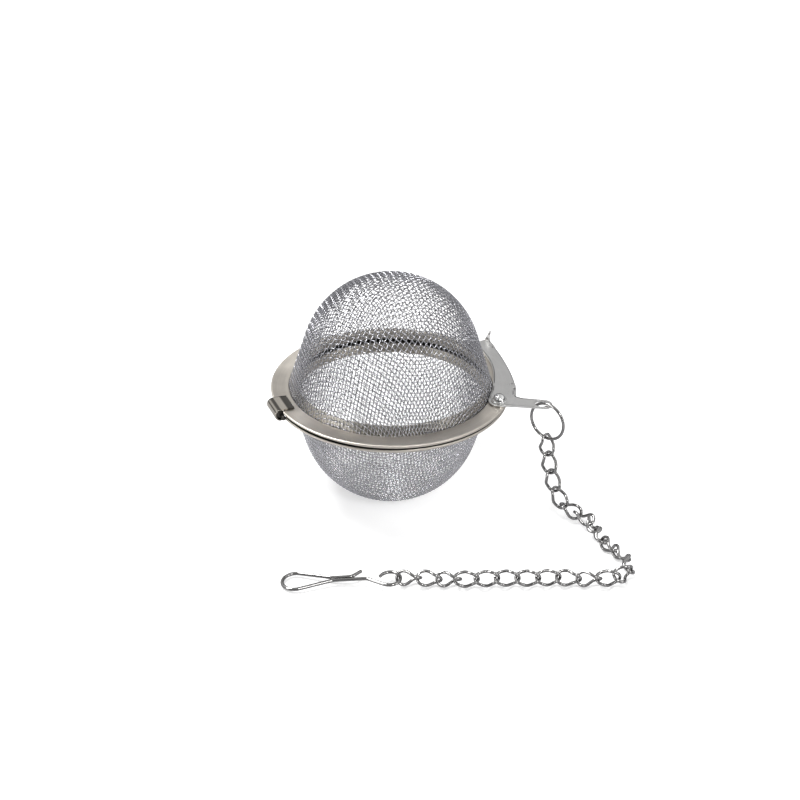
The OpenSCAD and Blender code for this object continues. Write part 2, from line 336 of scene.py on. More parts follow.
RIM = steel("rim_satin", (0.68, 0.635, 0.57), rough=0.34, spread=0.07,
            scratches=0.12, aniso=0.7, **BRUSHED_ROUND)
# lit and shaded copies of one wire steel: the upper cup's is darkened with painted shade for the
# shaded inside seen through its holes, the lower cup's is the lighter copy
WIRE = steel("mesh_wire", (0.49, 0.49, 0.515), **DRAWN_WIRE)
WIRE_LOW = steel("lower_wire_lit_copy", (0.80, 0.80, 0.825), **DRAWN_WIRE)
# near-black steel for painted shade in the seam between the rims and in the collar's fold
SEAM = steel("rim_seam_painted_shade", (0.11, 0.105, 0.097), rough=0.50, spread=0.08, **BRUSHED_ROUND)
STRAP = steel("strap_polished", (0.36, 0.335, 0.295), rough=0.11, spread=0.04,
              grain=(300, 1600, 300), grain_bump=0.10, bump_mm=0.003, scratches=0.15)
LATCH = steel("latch_satin", (0.74, 0.735, 0.72), rough=0.32, spread=0.06,
              grain=(1400, 240, 1400), grain_bump=0.22, bump_mm=0.005, ring=True, scratches=0.15)
RIVET = steel("rivet_bright", (0.80, 0.80, 0.79), rough=0.16, spread=0.05,
              grain=EVEN_GRAIN, grain_bump=0.1, bump_mm=0.004)
CHAIN = steel("chain_bright", (0.40, 0.395, 0.39), rough=0.11, spread=0.05,
              grain=EVEN_GRAIN, grain_bump=0.2, bump_mm=0.005, scratches=0.2)
HOOK = steel("hook_bright", (0.37, 0.365, 0.36), rough=0.10, spread=0.05,
             grain=(260, 1500, 1500), grain_bump=0.16, bump_mm=0.005, scratches=0.15)
# near-black steel on the hinge bar and ears: painted shade inside and under the hinge's curl
BAR = steel("hinge_bar_painted_shade", (0.10, 0.095, 0.085), rough=0.42, spread=0.08,
            grain=EVEN_GRAIN, grain_bump=0.2, bump_mm=0.005)


def shade(mat, measure, stops):
    """Paint light and shade into a steel: multiply its colour by factors at stops along a measure
    of the object's position.
    """
    tree = mat.node_tree
    bsdf = next(n for n in tree.nodes if n.type == "BSDF_PRINCIPLED")
    plain = bsdf.inputs["Base Color"].links[0].from_socket
    position = tree.nodes.new("ShaderNodeTexCoord").outputs["Object"]
    xyz = add_node(tree, "SeparateXYZ", {0: position}).outputs
    low, high = stops[0][0], stops[-1][0]
    along = add_node(tree, "MapRange", {
        "From Min": low, "From Max": high, "Value": measure(tree, xyz)})
    ramp = add_node(tree, "ValToRGB", {"Fac": along.outputs[0]})
    ramp.color_ramp.interpolation = "EASE"
    elements = ramp.color_ramp.elements
    for k, (place, factor) in enumerate(stops):
        if k == 0:
            element = elements[0]
        elif k == len(stops) - 1:
            element = elements[-1]
        else:
            element = elements.new((place - low) / (high - low))
        element.position = (place - low) / (high - low)
        # held at half strength, since factors go above 1
        element.color = (factor / 2, factor / 2, factor / 2, 1)
    doubled = add_node(tree, "VectorMath", {0: ramp.outputs["Color"]}, operation="SCALE")
    doubled.inputs["Scale"].default_value = 2.0
    product = add_node(tree, "VectorMath", {0: plain, 1: doubled.outputs[0]},
                       operation="MULTIPLY")
    tree.links.new(product.outputs[0], bsdf.inputs["Base Color"])


def towards_hinge(tree, xyz):
    """Distance in mm from the ball's axis in the direction of the hinge."""
    x_part = add_node(tree, "Math", {0: xyz["X"], 1: math.cos(HINGE_AZIMUTH) * 1000},
                      operation="MULTIPLY")
    return add_node(tree, "Math", {
        0: xyz["Y"], 1: math.sin(HINGE_AZIMUTH) * 1000, 2: x_part.outputs[0]},
        operation="MULTIPLY_ADD").outputs[0]


def round_axis(tree, xyz):
    """Azimuth in radians."""
    return add_node(tree, "Math", {0: xyz["Y"], 1: xyz["X"]}, operation="ARCTAN2").outputs[0]


# (place, factor): painted highlight and painted shade in bands across the strap's flat leg and
# curl; a painted highlight on the rims in one sector round the axis
# painted shade on the strap's flat leg and inside the curl, painted highlight over the top and
# outer side of the curl
shade(STRAP, towards_hinge, [
    (22.1, 0.9), (22.5, 0.30), (23.5, 0.25), (23.9, 1.7), (24.9, 1.6), (25.25, 0.30),
    (25.6, 0.35), (25.95, 1.6), (26.4, 1.4)])
# painted highlight on the rims: the colour is raised by 1.36 in a narrow sector of azimuth, about
# -144 to -135 degrees
shade(RIM, round_axis, [
    (-3.15, 1.0), (-2.66, 1.0), (-2.52, 1.36), (-2.36, 1.36), (-2.05, 1.0), (3.15, 1.0)])


# ------------------------------------------------------------------ woven cups
WIRE_RADIUS = 0.100
WIRE_SIDES = 6
CRIMP = 0.104  # how far a wire swings to either side of the weave's middle surface
PRESSED = 0.5  # share of in-surface squeeze against shear
DOME_CENTRE_Z = 6.0  # centre of the dome's sphere above the rim plane
CUP_FOOT = np.array([21.10, 0.86])  # radius and height where the wall meets the hem
HEM_Z = 0.47
HEM_END = 24.0  # the profile runs past the cloth
CLOTH_EDGE = 21.9  # radius where the wires end
BOTTOM_DEPTH = SEAM_Z - 0.24  # flat bottom of the lower cup, from the rim plane
NET_MARGIN = 9.0  # the net is solved this far past the cloth's edge
PROFILE_EXTRA = 14  # flat length added to the profile for that


def cup_profile(dome_radius, lower):
    """Middle surface of the weave from pole to hem: arc length, radius, height off rim plane."""
    sphere = dome_radius - 0.2

    def on_dome(angle):
        return (sphere * math.cos(angle), DOME_CENTRE_Z + sphere * math.sin(angle))

    # the straight wall leaves the dome as a tangent that passes through the foot
    rise = CUP_FOOT[1] - DOME_CENTRE_Z
    wall_angle = (math.atan2(rise, CUP_FOOT[0])
                  + math.acos(sphere / math.hypot(CUP_FOOT[0], rise)))
    points = []
    dome_start = math.pi / 2
    if lower:
        flat_angle = math.asin((BOTTOM_DEPTH - DOME_CENTRE_Z) / sphere)
        flat_radius = sphere * math.cos(flat_angle)
        dome_start = flat_angle - 0.09
        points += [(x, BOTTOM_DEPTH) for x in np.linspace(0, flat_radius - 1.2, 60)]
        points += bezier((flat_radius - 1.2, BOTTOM_DEPTH), (flat_radius - 0.1, BOTTOM_DEPTH),
                         on_dome(dome_start))
    for k in range(1 if lower else 0, 241):
        points.append(on_dome(dome_start + (wall_angle - dome_start) * k / 240))
    wall_top = np.array(points[-1])
    for k in range(1, 60):
        points.append(tuple(wall_top + (CUP_FOOT - wall_top) * k / 59))
    points += bezier(points[-1], (21.22, HEM_Z), (21.8, HEM_Z))
    points.append((HEM_END, HEM_Z))
    points = np.array(points)
    return arc_length(points), points[:, 0], points[:, 1]


def solve_crossing(place, left, below, corner, spacing):
    """Next crossing, one spacing from two neighbours on the surface, or None if there is none."""
    anchors = [place(left), place(below)]

    def miss(spot):
        point = place(spot)
        return np.array([np.linalg.norm(point - anchor) - spacing for anchor in anchors])

    nudge = 1e-4
    spot = left + below - corner
    for _ in range(12):
        error = miss(spot)
        if abs(error).max() < 1e-7:
            break
        slope = np.stack([(miss(spot + move) - error) / nudge
                          for move in (np.array([nudge, 0]), np.array([0, nudge]))], 1)
        step = np.linalg.solve(slope, error)
        size = np.linalg.norm(step)
        if size > 0.5 * spacing:
            step *= 0.5 * spacing / size
        spot = spot - step
    return spot if abs(error).max() < 1e-3 else None


def weave_net(profile, spacing, reach):
    """One quarter of a net of equal spacing, laid over the cup from two crossing lines.

    Spots are flat: their direction is the azimuth, their length the arc length from the pole.
    """
    arc, radius, height = profile

    def place(spot):
        along = math.hypot(spot[0], spot[1])
        r, z = np.interp(along, arc, radius), np.interp(along, arc, height)
        if along < 1e-9:
            return np.array([0, 0, z])
        return np.array([r * spot[0] / along, r * spot[1] / along, z])

    count = int(reach / spacing) + 3
    net = np.full((count, count, 2), np.nan)
    for i in range(count):
        net[i, 0], net[0, i] = (i * spacing, 0), (0, i * spacing)
    for diagonal in range(2, 2 * count - 1):
        for i in range(max(1, diagonal - count + 1), min(count, diagonal)):
            j = diagonal - i
            left, below, corner = net[i - 1, j], net[i, j - 1], net[i - 1, j - 1]
            if np.isnan([left, below, corner]).any():
                continue
            if max(math.hypot(*left), math.hypot(*below)) > reach + NET_MARGIN:
                continue
            found = solve_crossing(place, left, below, corner, spacing)
            if found is not None:
                net[i, j] = found
    return net


def cup_crossings(profile, spacing, reach):
    """Crossings of the whole cup, mirrored from one quarter and drifted like real cloth."""
    arc, radius, height = profile
    extended = (np.append(arc, arc[-1] + PROFILE_EXTRA),
                np.append(radius, radius[-1] + PROFILE_EXTRA), np.append(height, height[-1]))
    net = weave_net(extended, spacing, reach)
    count = len(net)
    steps = np.arange(count) * spacing
    # the cloth shears as it is pressed, and is also squeezed in its own surface
    flat = np.stack(np.meshgrid(steps, steps, indexing="ij"), -1)
    net = (1 - PRESSED) * net + PRESSED * flat
    pole = count - 1
    full = np.full((2 * count - 1, 2 * count - 1, 2), np.nan)
    for sx in (1, -1):
        for sy in (1, -1):
            for i in range(count):
                full[pole + sx * i, pole + sy * np.arange(count)] = net[i] * np.array([sx, sy])
    numbers = np.arange(-pole, count)
    grid_i, grid_j = np.meshgrid(numbers, numbers, indexing="ij")
    drift = np.zeros_like(full)
    for _ in range(7):
        rate_i, rate_j = RNG.uniform(-0.45, 0.45), RNG.uniform(-0.45, 0.45)
        phase = RNG.uniform(0, 6.28)
        shift_x, shift_y = RNG.normal(0, 0.028, 2)
        wave = np.sin(rate_i * grid_i + rate_j * grid_j + phase)
        drift[..., 0] += shift_x * wave
        drift[..., 1] += shift_y * wave
    return full + drift


def catmull(points, at):
    """Smooth curve through points, sampled at fractional point numbers."""
    count = len(points)
    k = np.clip(np.floor(at).astype(int), 0, count - 2)
    f = (at - k)[:, None]
    p0 = points[np.clip(k - 1, 0, count - 1)]
    p1, p2 = points[k], points[k + 1]
    p3 = points[np.clip(k + 2, 0, count - 1)]
    return 0.5 * (2 * p1 + (p2 - p0) * f + (2 * p0 - 5 * p1 + 4 * p2 - p3) * f * f
                  + (3 * p1 - p0 - 3 * p2 + p3) * f ** 3)


def neighbour_runs(indices):
    return np.split(indices, np.nonzero(np.diff(indices) > 1)[0] + 1)


def crimped_wire(profile, spots, swing, reach):
    """Rings of vertices round one wire; swing is its signed share of the crimp at each spot."""
    arc, radius, height = profile
    along = np.hypot(spots[:, 0], spots[:, 1])
    r, z = np.interp(along, arc, radius), np.interp(along, arc, height)
    delta = 0.05
    slope_r, slope_z = (
        (np.interp(along + delta, arc, values) - np.interp(along - delta, arc, values))
        / (2 * delta) for values in (radius, height))
    ux = spots[:, 0] / np.maximum(along, 1e-9)
    uy = spots[:, 1] / np.maximum(along, 1e-9)
    path = np.stack([r * ux, r * uy, z], 1)
    outward = np.stack([-slope_z * ux, -slope_z * uy, slope_r], 1)
    outward[along < 0.2] = (0, 0, 1)
    outward /= np.linalg.norm(outward, axis=1)[:, None]
    # the crimp flattens where the cloth is gripped in the hem
    fade = 1 - 0.75 * smoothstep((along - (reach - 1.6)) / 0.9)
    path = path + outward * (swing * fade)[:, None]
    tangent = np.gradient(path, axis=0)
    tangent /= np.linalg.norm(tangent, axis=1)[:, None]
    side = np.cross(tangent, outward)
    side /= np.linalg.norm(side, axis=1)[:, None]
    normal = np.cross(side, tangent)
    turn = ((np.arange(WIRE_SIDES) + 0.5) * 2 * math.pi / WIRE_SIDES)[None, :, None]
    return path[:, None, :] + WIRE_RADIUS * (
        np.cos(turn) * normal[:, None, :] + np.sin(turn) * side[:, None, :])


def wire_faces(rings):
    """Quads of one six-sided wire, with two at each end to close it."""
    halves = np.array([(0, 1, 2, 3), (0, 3, 4, 5)])
    return np.concatenate([ring_quads(rings, WIRE_SIDES), WIRE_SIDES - 1 - halves,
                           (rings - 1) * WIRE_SIDES + halves])


def woven_cup(prefix, dome_radius, lower, azimuth, body, replaces, spacing, samples):
    """Both families of wires of one cup; samples is the number of rings for each crossing."""
    profile = cup_profile(dome_radius, lower)
    reach = float(np.interp(CLOTH_EDGE, profile[1], profile[0]))
    crossings = cup_crossings(profile, spacing, reach)
    pole = len(crossings) // 2
    for family, sign, lines in (("warp", 1, crossings.swapaxes(0, 1)), ("weft", -1, crossings)):
        verts, faces, base = [], [], 0
        for number, line in enumerate(lines):
            # a wire far from the pole may come in two runs
            for run in neighbour_runs(np.nonzero(np.isfinite(line[:, 0]))[0]):
                if len(run) < 3:
                    continue
                at = np.arange(run[0], run[-1] + 1e-9, 1.0 / samples)
                spots = catmull(line[run], at - run[0])
                within = np.nonzero(np.hypot(spots[:, 0], spots[:, 1]) < reach)[0]
                for part in neighbour_runs(within):
                    if len(part) < 4:
                        continue
                    phase = math.pi * (at[part] - pole + number - pole)
                    swing = sign * CRIMP * np.cos(phase)
                    rings = crimped_wire(profile, spots[part], swing, reach)
                    verts.append(rings.reshape(-1, 3))
                    faces.append(wire_faces(len(rings)) + base)
                    base += len(verts[-1])
        x, y, z = np.concatenate(verts).T
        faces = np.concatenate(faces)
        if lower:
            z = -z
            faces = faces[:, ::-1]
        c, s = math.cos(azimuth), math.sin(azimuth)
        add(f"{prefix}_{family}", np.stack([x * c - y * s, x * s + y * c, SEAM_Z + z], 1),
            faces, WIRE_LOW if lower else WIRE, body, replaces)


woven_cup("upper_weave", dome_radius=18.8, lower=False, azimuth=math.radians(-121),
          body="upper_half", replaces="upper_mesh", spacing=0.96, samples=4)
woven_cup("lower_weave", dome_radius=19.0, lower=True, azimuth=math.radians(-100),
          body="lower_half", replaces="lower_mesh", spacing=0.84, samples=3)


# ------------------------------------------------------------------ rims
HALF_SLOT = 0.22  # half the gap that shows between the rims at their outer edge
FLANGE_TOP = 0.90
NOTCH_SOFT = 0.15  # half the width over which the notch's ends ease in


def rim_profile(rim_radius):
    """Folded sheet: closed (radius, height off the rim plane) section."""
    corners = [  # radius, height, corner radius
        (20.62, 0.30, 0.42), (22.3, 0.30, 0.05), (22.5, 0.06, 0.05), (23.1, 0.06, 0.05),
        (23.3, HALF_SLOT, 0.05), (rim_radius, HALF_SLOT, 0.28), (rim_radius, FLANGE_TOP, 0.30),
        (21.3, FLANGE_TOP, 0.12), (21.3, 0.64, 0.10), (rim_radius - 0.40, 0.64, 0.10),
        (rim_radius - 0.40, 0.40, 0.10), (20.98, 0.40, 0.14), (20.18, 2.6, 0.13),
        (19.88, 2.6, 0.13)]
    section = fillet([c[:2] for c in corners], [c[2] for c in corners], steps=6)
    section = densify(section, 0.35)
    # the flange top sits a little lower inside its rolled outer edge
    r, z = section.T
    top = (z > 0.58) & (r > 21.2)
    hollow = smoothstep((rim_radius - 0.35 - r) / 0.7) * smoothstep((r - 21.2) / 0.9)
    section[:, 1] = np.where(top, z - 0.055 * hollow, z)
    return section


def gaped(angle, r, z):
    """Heights opened up towards the hinge and towards the side opposite it."""
    gape = 0.20 * math.cos(angle - HINGE_AZIMUTH) ** 2
    outer = smoothstep((r - 23.2) / 0.6)
    return z + gape * outer * (1 - np.clip((z - HALF_SLOT) / (FLANGE_TOP - HALF_SLOT), 0, 1))


def notched(angle, r, half_notch, floor, start):
    """Radii pressed in to a straight floor at the hinge; those below start are kept."""
    off = (angle - HINGE_AZIMUTH + math.pi) % (2 * math.pi) - math.pi
    across = abs(HINGE_RADIUS * math.tan(off)) if abs(off) < 1 else 99
    weight = 1 - smoothstep((across - half_notch + NOTCH_SOFT) / (2 * NOTCH_SOFT))
    if weight <= 0:
        return r
    limit = floor / math.cos(off)
    full = r.max()
    share = np.clip((r - start) / (full - start), 0, 1)
    depth = (1 - weight) * (full - start) + weight * (limit - start)
    return np.where(r > start, start + share * depth, r)


def rim_angles(half_notch):
    """Even steps round the rim, with finer ones at both ends of the notch."""
    end = math.atan2(half_notch, HINGE_RADIUS)
    ease = NOTCH_SOFT / HINGE_RADIUS * 1.5
    fine = [HINGE_AZIMUTH + side * np.linspace(end - ease, end + ease, 22) for side in (-1, 1)]
    angles = np.concatenate([np.linspace(0, 2 * math.pi, 360, endpoint=False), *fine])
    return np.unique(np.round(np.mod(angles, 2 * math.pi), 6))


def build_rim(half, rim_radius, half_notch, floor, start):
    section = rim_profile(rim_radius)
    r, z = section.T
    angles = rim_angles(half_notch)
    rows = []
    for angle in angles:
        radii = notched(angle, r, half_notch, floor, start)
        rows.append(np.stack([radii * math.cos(angle), radii * math.sin(angle),
                              gaped(angle, r, z)], 1))
    verts = np.concatenate(rows)
    turns, count = len(angles), len(section)
    i, j = np.arange(turns)[:, None], np.arange(count)[None, :]
    i2, j2 = (i + 1) % turns, (j + 1) % count
    faces = np.stack([i * count + j, i2 * count + j, i2 * count + j2, i * count + j2], -1)
    faces = faces.reshape(-1, 4)
    if half == "upper":
        verts[:, 2] += SEAM_Z
        faces = faces[:, ::-1]
    else:
        verts[:, 2] = SEAM_Z - verts[:, 2]
    obj = add(half + "_rim_fold", verts, faces, RIM, half + "_half", half + "_rim")

    # painted shade: the facing sheet inside the seam and the rolled inner edge of the collar get a
    # near-black steel that stands in for the shadow in the gap between the rims
    obj.data.materials.append(SEAM)
    painted_shade = (z < HALF_SLOT + 0.10) & (r > 20.72) & (r < rim_radius - 0.24)
    painted_shade = painted_shade | ((z < HALF_SLOT + 0.55) & (r < 21.5))
    painted_shade = painted_shade & np.roll(painted_shade, -1)
    obj.data.polygons.foreach_set("material_index", np.tile(painted_shade, turns).astype(np.int32))


build_rim("upper", rim_radius=25.0, half_notch=2.92, floor=24.05, start=23.4)
build_rim("lower", rim_radius=24.7, half_notch=2.88, floor=23.72, start=23.35)


# ------------------------------------------------------------------ hinge
# The hinge's own axes: x outward from the ball's axis, y along the hinge bar, z off the seam.
BAR_RADIUS = 0.84
BAR_END = [(2.4, 0.01), (2.4, 0.70), (2.36, 0.80), (2.25, BAR_RADIUS)]  # y, radius
CURL_RADIUS = 1.13
STRAP_START = 22.25
STRAP_HALF_WIDTH = 2.7
STRAP_HALF_THICKNESS = 0.16


def at_hinge(verts):
    x, y, z = np.asarray(verts, float).T
    c, s = math.cos(HINGE_AZIMUTH), math.sin(HINGE_AZIMUTH)
    return np.stack([x * c - y * s, x * s + y * c, z + SEAM_Z], 1)


def build_hinge_bar():
    sides = 40
    stations = ([(-y, r) for y, r in BAR_END] + [(y, BAR_RADIUS) for y in np.linspace(-2, 2, 10)]
                + BAR_END[::-1])
    verts = [[HINGE_RADIUS + r * math.cos(a), y, r * math.sin(a)]
             for y, r in stations for a in turn_angles(sides)]
    add("hinge_bar_roll", at_hinge(verts), ring_quads(len(stations), sides)[:, ::-1], BAR,
        "lower_half", angle=50)
    for name, side in (("hinge_ear_left", -1), ("hinge_ear_right", 1)):
        path = [(24.86, side * y, -0.32) for y in np.linspace(1.6, 3.55, 10)]
        verts, faces = tube(path, radius=0.47, sides=20)
        add(name, at_hinge(verts), faces, BAR, "lower_half", angle=50)


def build_hinge_strap():
    """Flat leg on the upper rim that curls over and round the bar."""
    path = []
    for x in np.linspace(STRAP_START, HINGE_RADIUS, 18):
        climb = 0.12 * math.sin(math.pi * min(1.0, (x - STRAP_START) / 1.9) / 2) ** 2
        path.append((x, 1.03 + climb - 0.02 * smoothstep((x - 24.2) / 0.9)))
    for a in np.radians(np.linspace(0, 196, 44)[1:]):
        path.append((HINGE_RADIUS + CURL_RADIUS * math.sin(a), CURL_RADIUS * math.cos(a)))
    path = np.asarray(path, float)
    tangent = np.gradient(path, axis=0)
    tangent /= np.linalg.norm(tangent, axis=1)[:, None]
    normal = np.stack([-tangent[:, 1], tangent[:, 0]], 1)
    section = rounded_box(STRAP_HALF_WIDTH, STRAP_HALF_THICKNESS, radius=0.11, steps=4)
    width, depth = densify(section, 0.6).T
    last = len(path) - 1
    # path point, push along the path, shrink: two shrinking rings round off each end
    stations = ([(0, -0.075, 0.55), (0, -0.05, 0.80)] + [(i, 0, 1) for i in range(last + 1)]
                + [(last, 0.05, 0.80), (last, 0.075, 0.55)])
    rings = []
    for i, push, shrink in stations:
        spot = path[i] + tangent[i] * push
        rings.append(np.stack([
            spot[0] + normal[i, 0] * depth * shrink,
            width - np.sign(width) * (1 - shrink) * STRAP_HALF_THICKNESS,
            spot[1] + normal[i, 1] * depth * shrink], 1))
    verts, faces = loft(rings)
    add("hinge_strap_curl", at_hinge(verts), faces, STRAP, "upper_half",
        "hinge_strap", angle=45)


build_hinge_bar()
build_hinge_strap()


# ------------------------------------------------------------------ latch plate
RING_AZIMUTH = -40  # the ring's plane stands along this azimuth, degrees
RING_CENTRE = np.array([32.1, -9.6, SEAM_Z - 2.17])
RIVET_SPOT = np.array([22.2, -7.4])
RING_HOLE = RING_CENTRE[:2] - polar(1.85, RING_AZIMUTH)
HANDLE_DIR = (RING_HOLE - RIVET_SPOT) / np.linalg.norm(RING_HOLE - RIVET_SPOT)
HANDLE_SIDE = np.array([-HANDLE_DIR[1], HANDLE_DIR[0]])

PLATE_TOP, PLATE_BOTTOM = 1.32, 0.92
LIP_FLOOR = -1.4  # underside of the lip that turns down and tucks under
LIP_INNER_RADIUS = 24.9
EDGE_BEVEL = 0.085

CRESCENT = np.array([  # azimuth in degrees, inner radius, outer radius
    [-12, 21.4, 26.35], [-8, 21.3, 26.3], [-1, 21.35, 26.0],
    [7, 21.7, 25.85], [14, 22.35, 25.95], [21, 22.95, 26.25],
    [28, 23.5, 26.85], [35, 24.15, 27.75], [41, 25.0, 28.75]], float)
INNER_EDGE = np.poly1d(np.polyfit(CRESCENT[:, 0], CRESCENT[:, 1], 4))
OUTER_EDGE = np.poly1d(np.polyfit(CRESCENT[:, 0], CRESCENT[:, 2], 4))
FREE_END = [(28.95, 42.2), (28.3, 43.0), (26.9, 43.6), (25.7, 42.4)]  # radius, azimuth
HOLES = [  # centre, radius, bevel, half shift that draws the hole out into a slot
    (RIVET_SPOT, 0.85, 0.06, (0.0, 0.0)),
    (RING_HOLE, 1.2, 0.08, (0.0, 0.0)),
    ((25.42, -3.55), 0.17, 0.04, (0.17, 1.25))]


def latch_outline():
    """Outline counter-clockwise from above, and how much of a lip each point carries."""
    turn = math.degrees(math.atan2(HANDLE_DIR[1], HANDLE_DIR[0]))
    root_half, tip_half = 1.78, 1.6  # half widths of the handle
    tip = RING_HOLE + 0.77 * HANDLE_DIR
    length = np.linalg.norm(tip - RIVET_SPOT)

    def handle_edge(share, side):
        half = root_half + (tip_half - root_half) * share
        return RIVET_SPOT + HANDLE_DIR * length * share + HANDLE_SIDE * side * half

    # pad round the rivet, handle, and the inside corner between handle and crescent
    points = arc_points(RIVET_SPOT, 2.2, 152, 300, 30)
    points += [handle_edge(share, -1) for share in (0.30, 0.38, 0.5, 0.7, 0.85, 1.0)]
    points += arc_points(tip, tip_half, turn - 84, turn + 84, 26)
    points += [handle_edge(share, 1) for share in (1.0, 0.85, 0.7, 0.55)]
    points.append(RIVET_SPOT + HANDLE_DIR * length * 0.50 + HANDLE_SIDE * 1.70)
    points.append(np.array([25.74, -5.62]))
    lips = [0.0] * len(points)
    for a in np.arange(-11.0, 40.01, 1.0):
        points.append(polar(OUTER_EDGE(a), a))
        lips.append(1.0 if -1.2 <= a <= 35.2 else 0.0)
    points += [polar(r, a) for r, a in FREE_END]
    points += [polar(max(21.28, INNER_EDGE(a)), a) for a in np.arange(39.5, -7.01, -1.5)]
    lips += [0.0] * (len(points) - len(lips))
    return np.array(points), lips


def smooth_outline(points, lips, count, sigma):
    """Evenly spaced closed curve, softened by sigma mm, with its lip values."""
    closed = np.vstack([points, points[:1]])
    stations = arc_length(closed)
    at = np.linspace(0, stations[-1], count, endpoint=False)
    step = stations[-1] / count
    curve = blur_loop(resample(stations, closed, at), int(4 * sigma / step) + 1, step, sigma)
    return curve, smoothstep(np.interp(at, stations, np.append(lips, lips[0])))


def plate_edge(outline, lips):
    """One edge section for each outline point, from the top face round to the bottom face."""
    along = np.roll(outline, -1, 0) - np.roll(outline, 1, 0)
    along /= np.linalg.norm(along, axis=1)[:, None]
    inward = np.stack([-along[:, 1], along[:, 0]], 1)
    top, bottom = PLATE_TOP, PLATE_BOTTOM
    plain = open_profile(
        [(0.30, top), (0, top), (0, top - 0.12), (0, top - 0.16),
         (0, bottom + 0.16), (0, bottom + 0.12), (0, bottom), (0.30, bottom)],
        [EDGE_BEVEL, None, None, None, None, EDGE_BEVEL])
    lip_top = LIP_FLOOR + 0.35
    rows = []
    for spot, inner, weight in zip(outline, inward, lips):
        tuck = max(0.5, np.hypot(*spot) - LIP_INNER_RADIUS)
        lip = open_profile(
            [(0.85, top), (0, top), (0, LIP_FLOOR), (tuck, LIP_FLOOR),
             (tuck, lip_top), (0.40, lip_top), (0.40, bottom), (0.85, bottom)],
            [0.42, 0.22, 0.12, 0.12, 0.10, 0.16])
        section = plain * (1 - weight) + lip * weight
        rows.append(np.stack([spot[0] + inner[0] * section[:, 0],
                              spot[1] + inner[1] * section[:, 0], section[:, 1]], 1))
    return rows


def latch_sheet():
    """Vertices, faces and smooth flags of the pierced plate."""
    outline, lips = smooth_outline(*latch_outline(), count=460, sigma=0.22)
    rows = plate_edge(outline, lips)
    turns, count = len(rows), len(rows[0])
    verts = list(np.concatenate(rows))
    faces = []
    for i in range(turns):
        here, after = i * count, (i + 1) % turns * count
        faces += [(here + j, after + j, after + j + 1, here + j + 1) for j in range(count - 1)]
    top_loops = [[i * count for i in range(turns)]]
    bottom_loops = [[i * count + count - 1 for i in range(turns)]]
    hole_sides = 48
    for centre, radius, bevel, (shift_x, shift_y) in HOLES:
        base = len(verts)
        wall = [(radius + bevel, PLATE_TOP), (radius + bevel * 0.3, PLATE_TOP - bevel * 0.3),
                (radius, PLATE_TOP - bevel), (radius, PLATE_BOTTOM + bevel),
                (radius + bevel * 0.3, PLATE_BOTTOM + bevel * 0.3),
                (radius + bevel, PLATE_BOTTOM)]
        for q in range(hole_sides):
            a = 2 * math.pi * q / hole_sides
            side = 1.0 if math.cos(a) * shift_x + math.sin(a) * shift_y > 0 else -1.0
            for r, z in wall:
                verts.append(np.array([centre[0] + side * shift_x + r * math.cos(a),
                                       centre[1] + side * shift_y + r * math.sin(a), z]))
        for q in range(hole_sides):
            here, after = base + q * len(wall), base + (q + 1) % hole_sides * len(wall)
            faces += [(after + j, here + j, here + j + 1, after + j + 1)
                      for j in range(len(wall) - 1)]
        top_loops.append([base + q * len(wall) for q in range(hole_sides)])
        bottom_loops.append([i + len(wall) - 1 for i in top_loops[-1]])
    smooth = [True] * len(faces)
    for loops, downward in ((top_loops, False), (bottom_loops, True)):
        flat = [i for loop in loops for i in loop]
        triangles = tessellate_polygon(
            [[Vector((verts[i][0], verts[i][1], 0)) for i in loop] for loop in loops])
        for triangle in triangles:
            a, b, c = (flat[corner] for corner in triangle)
            area = ((verts[b][0] - verts[a][0]) * (verts[c][1] - verts[a][1])
                    - (verts[b][1] - verts[a][1]) * (verts[c][0] - verts[a][0]))
            if (area < 0) != downward:
                a, b = b, a
            faces.append((a, b, c))
            smooth.append(False)
    verts = np.array(verts)
    verts[:, 2] += SEAM_Z
    return verts, faces, smooth


def latch_horn():
    """Small curved prong at the plate's free outer corner."""
    base = polar(28.3, 41.2)
    lean = polar(1, 50)
    outward = polar(1, 41)
    across = np.array([-outward[1], outward[0]])
    count = 18
    rings = []
    for i in range(count):
        t = i / (count - 1)
        reach = 0.10 - 0.22 * math.sin(math.pi * min(1, t * 1.6)) + 0.75 * t ** 1.6
        centre = base + across * 0.12 + lean * reach
        half_width = 0.62 * (1 - t) ** 1.3 + 0.18 + 0.12 * (1 - smoothstep(t / 0.2))
        half_depth = 0.20 * (1 - 0.45 * t)
        wide, deep = rounded_box(half_width, half_depth, radius=0.07, steps=3).T
        rings.append(np.stack([centre[0] + across[0] * wide + outward[0] * deep,
                               centre[1] + across[1] * wide + outward[1] * deep,
                               np.full(len(wide), SEAM_Z + 1.10 + 2.35 * t)], 1))
    return loft(rings)


def build_latch_plate():
    verts, faces, smooth = latch_sheet()
    horn_verts, horn_faces = latch_horn()
    faces += [tuple(i + len(verts) for i in face) for face in horn_faces]
    add("latch_plate_sheet", np.concatenate([verts, horn_verts]), faces, LATCH, "latch",
        "latch_plate", smooth=smooth + [True] * len(horn_faces))


